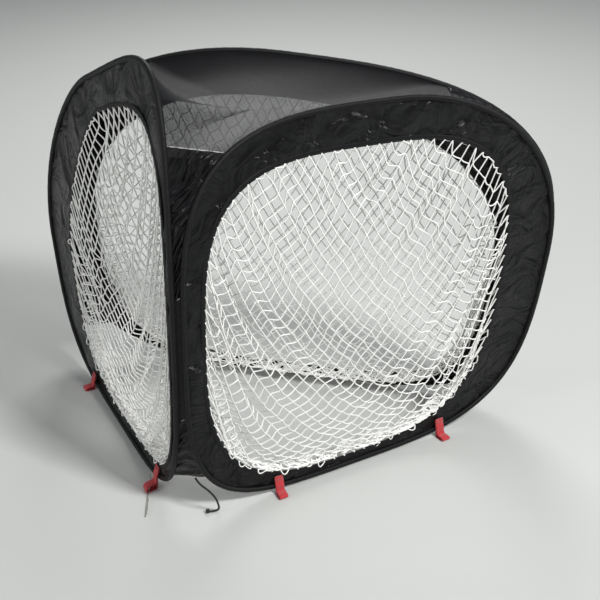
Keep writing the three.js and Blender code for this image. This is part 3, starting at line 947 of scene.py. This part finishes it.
def bend_between():
    """A way to mount a corner piece: it is left where it is, with its placement baked into its points.
    """

    def mount(obj, grid):
        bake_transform(obj)

    return mount


def fold_flat(body, panel):
    """A way to mount a corner piece that stays with one hoop: it is attached to that hoop's body and
    given its own copy of its mesh.
    """
    normal = panel.outward(0.5, 0.5)
    anchor = panel.ruled(0.5, 0.5)

    def mount(obj, grid):
        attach(obj, body)
        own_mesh(obj)

    return mount


def top_rim():
    """The closed line round the top: along each hoop, and straight from one to the next."""
    per_run, per_hem = 44, 12
    inside = 0.004
    edge = []
    for name, start, end in (("right", "near", "far"), ("back", "far", "near"), ("left", "far", "near")):
        places = PLACES[name]
        u = np.linspace(places[start][3], places[end][3], per_run)
        edge.append(panels[name].hoop(u, 0.0, -inside))
    closed = []
    share = np.linspace(0, 1, per_hem)[1:-1, None]
    for k, run in enumerate(edge):
        following = edge[(k + 1) % 3]
        closed.extend([run, run[-1] * (1 - share) + following[0] * share])
    return np.concatenate(closed)


def make_top():
    """The see-through top: stretched from hoop to hoop, with a slight sag and soft waves."""
    rings = 26
    passes, sag = 1500, 0.00004
    wave_height, wave_size = 0.0035, 0.22
    rim = top_rim()
    centre = rim.mean(0)
    share = np.linspace(0, 1, rings + 1)[1:]
    disc = centre + (rim[None] - centre) * share[:, None, None]
    height = disc[..., 2].copy()
    middle = height[0].mean()
    for _ in range(passes):
        inner = np.concatenate([np.full((1, height.shape[1]), middle), height[:-2]])
        beside = np.roll(height[:-1], 1, 1) + np.roll(height[:-1], -1, 1)
        height[:-1] = (beside + inner + height[1:]) / 4 - sag
        middle = height[0].mean()
    soft = waves(disc[:-1, :, 0], disc[:-1, :, 1], 4, 5, wave_size) * wave_height
    height[:-1] += soft * (1 - share[:-1, None] ** 4)
    disc[..., 2] = height
    verts = np.concatenate([disc.reshape(-1, 3), [[*centre[:2], middle]]])
    count = len(rim)
    quads = grid_faces(rings, count, wrap_columns=True)
    j = np.arange(count)
    tris = np.stack([j, (j + 1) % count, np.full(count, rings * count)], 1)
    obj = add_mesh("top_mesh", verts, quads, verts[:, :2], tris)
    finish_piece(obj, MESH_CLOTH, "black_mesh", "top_mesh_panel")
    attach(obj, "right_panel")
    right = panels["right"]
    normal, anchor = right.outward(0.5, 0.9), right.ruled(0.5, 0.9)
    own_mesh(obj)


# -------------------- ground loops, peg and tie
def foot_of(panel, fraction):
    """The place where a panel's hoop comes down: ground point, hoop height and directions. The
    slack is how much the hoop rises over half a webbing's width."""
    t = panel.hoop_rise(fraction)
    step = LOOP_WIDTH / 2 / panel.size[0]
    climb = abs(panel.hoop_rise(fraction + step) - panel.hoop_rise(fraction - step))
    point = panel.ruled(fraction, t)
    above = panel.ruled(fraction, t + 0.05) - point
    out = unit(panel.outward(fraction, t) * np.array([1, 1, 0]))
    return {
        "height": point[2],
        "slack": climb / 2 * panel.size[1],
        "lean": float(above @ out / above[2]),
        "point": point * np.array([1, 1, 0]),
        "out": out,
        "along": np.cross(out, [0, 0, 1]),
    }


def ribbon(name, path, foot, width, thickness, skew):
    """Webbing swept along a path of (out, up) points, with soft edges. The skew moves it sideways
    as it goes out."""
    path = np.asarray(path, float)
    curve = smooth_run(np.concatenate([path, np.zeros((len(path), 1))], 1), 8)[:, :2]
    tangent = unit(np.gradient(curve, axis=0))
    normal = np.stack([-tangent[:, 1], tangent[:, 0]], 1)
    edge = np.array([-1.0, -0.97, -0.6, 0.0, 0.6, 0.97, 1.0])
    depth = np.array([0.25, 0.9, 1.0, 1.0, 1.0, 0.9, 0.25]) * thickness / 2
    section = [*zip(edge, depth), *zip(edge[::-1], -depth[::-1])]
    length = np.concatenate([[0], np.cumsum(np.linalg.norm(np.diff(curve, axis=0), axis=1))])
    up = np.array([0, 0, 1.0])
    verts, uv = [], []
    for across, lift in section:
        at = curve + normal * lift
        side = across * width / 2 + skew * at[:, :1]
        verts.append(foot["point"] + at[:, :1] * foot["out"] + at[:, 1:] * up + side * foot["along"])
        uv.append(np.stack([length, np.full(len(length), across * width / 2)], 1))
    count = len(section)
    quads = grid_faces(len(curve), count, wrap_columns=True)
    caps = []
    for base in (0, (len(curve) - 1) * count):
        for k in range(len(edge) - 1):
            caps.append([base + k, base + k + 1, base + count - 2 - k, base + count - 1 - k])
    verts = np.stack(verts, 1).reshape(-1, 3)
    quads = np.concatenate([quads, np.array(caps)])
    return add_mesh(name, verts, quads, np.stack(uv, 1).reshape(-1, 2))


def make_ground_loop(panel, fraction, end):
    """Red webbing sewn to the border, led down over the hoop, out along the ground and back."""
    foot = foot_of(panel, fraction)
    height, slack, lean = foot["height"], foot["slack"], foot["lean"]
    t = LOOP_THICKNESS
    face = 0.0022
    past = SLEEVE_R + 0.0014
    shoulder = height + 0.013 + slack
    pulled = panel.name == "left" and end == "near"
    rise = 0.011 if pulled else 0.0048
    reach = LOOP_REACH["pulled" if pulled else "close"]
    path = [
        # sewn to the border, and down over the hoop
        (face + lean * (PANEL_TAB + slack), height + PANEL_TAB + slack),
        (face + lean * 0.02 + 0.0004, shoulder + 0.004),
        (face + lean * 0.012 + 0.0010, shoulder - 0.002),
        (past, height + 0.004 + slack * 0.6),
        (past + 0.0004, max(height - 0.004 - slack, 0.0045)),
        # out along the ground
        (past + 0.003, 0.0016),
        (past + 0.008, t / 2),
        (reach - 0.007, t / 2),
        (reach - 0.0015, t / 2 + 0.0012),
        (reach, t + rise * 0.5),
        # back over itself, and up to the border again
        (reach - 0.003, t * 1.5 + rise * 0.9),
        (reach - 0.010, t * 1.5 + rise),
        (past + 0.006, t * 1.5 + rise * 1.0),
        (past + 0.0028, max(height - 0.002, t * 2 + rise + 0.001)),
        (past + 0.0022, height + 0.004 + slack * 0.6),
        (face + lean * 0.012 + 0.0030, shoulder - 0.002),
        (face + lean * 0.02 + 0.0024, shoulder + 0.004),
    ]
    skew = -0.25 if pulled else (0.12 if end == "near" else -0.08)
    obj = ribbon(f"{panel.name}_{end}_webbing", path, foot, LOOP_WIDTH, t, skew)
    finish_piece(obj, WEBBING, "red_webbing", f"{panel.name}_{end}_ground_loop")
    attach(obj, panel.body)


def make_peg():
    """A wire peg through the front loop: a straight shank with a hook turned up at its end."""
    panel = panels["left"]
    foot = foot_of(panel, panel.spec["loops"][0])
    centre = foot["point"] + foot["out"] * PEG["out"]
    centre[2] = PEG["height"]
    forward = -foot["along"] if foot["along"][0] < 0 else foot["along"]
    turn = math.radians(-PEG["turn"])
    forward = forward * math.cos(turn) + np.cross([0, 0, 1], forward) * math.sin(turn)
    back = centre - forward * PEG["behind"]
    corner = back - forward * PEG["hook"] / 2
    tip = back + np.array([0, 0, PEG["hook"]])
    bend = np.linspace(0, 1, 10)[1:, None]
    hook = back * (1 - bend) ** 2 + corner * 2 * bend * (1 - bend) + tip * bend**2
    shank = [centre + forward * PEG["front"] * s for s in (1.0, 0.985, 0.5, 0.0)]
    path = np.array([*shank, back, *hook])
    radius = np.full(len(path), PEG["radius"])
    radius[0] = PEG["radius"] * PEG["point"]
    reference = np.cross(forward, [0, 0, 1])
    obj = tube_object("peg_wire", path, np.broadcast_to(reference, path.shape), radius, 14)
    finish_piece(obj, ZINC, "zinc_wire", "front_peg")
    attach(obj, "peg")


def tie_path():
    start = panels["left"].hoop(PLACES["left"]["near"][0])
    across = (panels["right"].hoop(PLACES["right"]["near"][0]) - start) * np.array([1, 1, 0])
    start = start * np.array([1, 1, 0]) + across * TIE["share"]
    across = unit(across)
    out = np.cross(across, [0, 0, 1])
    up = np.array([0, 0, 1])
    points = [start + across * a + out * o + up * z for a, o, z in TIE_COURSE]
    return smooth_run(np.array(points), 6)


def make_tie():
    """The cord and its knot, drawn as a trefoil."""
    path = tie_path()
    reference = np.broadcast_to(np.array([1.0, 0.2, 0.1]), path.shape)
    cord = tube_object("tie_cord", path, reference, TIE["radius"] * 0.97, 12)
    finish_piece(cord, CORD, "black_cord", "front_tie_cord")
    ahead = unit(path[-1] - path[-3])
    centre = path[-1] + ahead * TIE["knot"] * 0.8
    centre[2] = TIE["knot"]
    t = np.linspace(0, TURN, 60, endpoint=False)
    x, y = np.sin(t) + 2 * np.sin(2 * t), np.cos(t) - 2 * np.cos(2 * t)
    loops = np.stack([x * 0.1836, y * 0.1836, -np.sin(3 * t) * 0.408], 1) * TIE["knot"]
    reference = np.broadcast_to(np.array([0.0, 0.0, 1.0]), loops.shape)
    knot = tube_object("tie_knot", centre + loops, reference, TIE["radius"] * 0.9, 10, closed=True)
    finish_piece(knot, CORD, "black_cord", "front_tie_knot")
    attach(cord, "right_panel")
    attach(knot, "right_panel")


# -------------------- assembly
make_tie()
for panel in panels.values():
    make_sleeve(panel)
    make_border(panel)
    make_net(panel)
    for fraction, end in zip(panel.spec["loops"], ("near", "far")):
        make_ground_loop(panel, fraction, end)
    for part in ("hoop_wire", "hoop_ferrule"):
        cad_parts[f"{panel.name}_{part}"].data.materials.clear()
        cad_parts[f"{panel.name}_{part}"].data.materials.append(SPRING)
left, right, back = panels["left"], panels["right"], panels["back"]
make_corner("front", left, "near", right, "near", bend_between())
make_corner("left", left, "far", back, "near", fold_flat("left_panel", left))
make_corner("right", right, "far", back, "far", bend_between())
make_top()
make_peg()


# -------------------- floor and light
def make_floor():
    bpy.ops.mesh.primitive_plane_add(size=14)
    floor = bpy.context.object
    floor.name = "floor"
    floor.data.materials.append(new_material("pale_floor", (0.50, 0.51, 0.49), 0.85)[0])


def add_area(name, location, size, energy):
    light = bpy.data.lights.new(name, "AREA")
    light.size = size
    light.energy = energy
    obj = bpy.data.objects.new(name, light)
    bpy.context.scene.collection.objects.link(obj)
    obj.location = location
    aim = Vector((0, 0, 0.4)) - Vector(location)
    obj.rotation_euler = aim.to_track_quat("-Z", "Y").to_euler()


def make_light():
    world = bpy.data.worlds.new("studio")
    bpy.context.scene.world = world
    world.use_nodes = True
    background = world.node_tree.nodes["Background"]
    background.inputs["Color"].default_value = (0.92, 0.95, 1.0, 1)
    background.inputs["Strength"].default_value = 0.24
    add_area("key", (2.4, -1.2, 3.2), 0.7, 170)
    add_area("fill", (-2.6, -2.2, 1.8), 1.6, 40)
    add_area("rear", (-0.6, 2.6, 2.6), 1.4, 60)


make_floor()
make_light()
bpy.context.scene.view_settings.view_transform = "Standard"
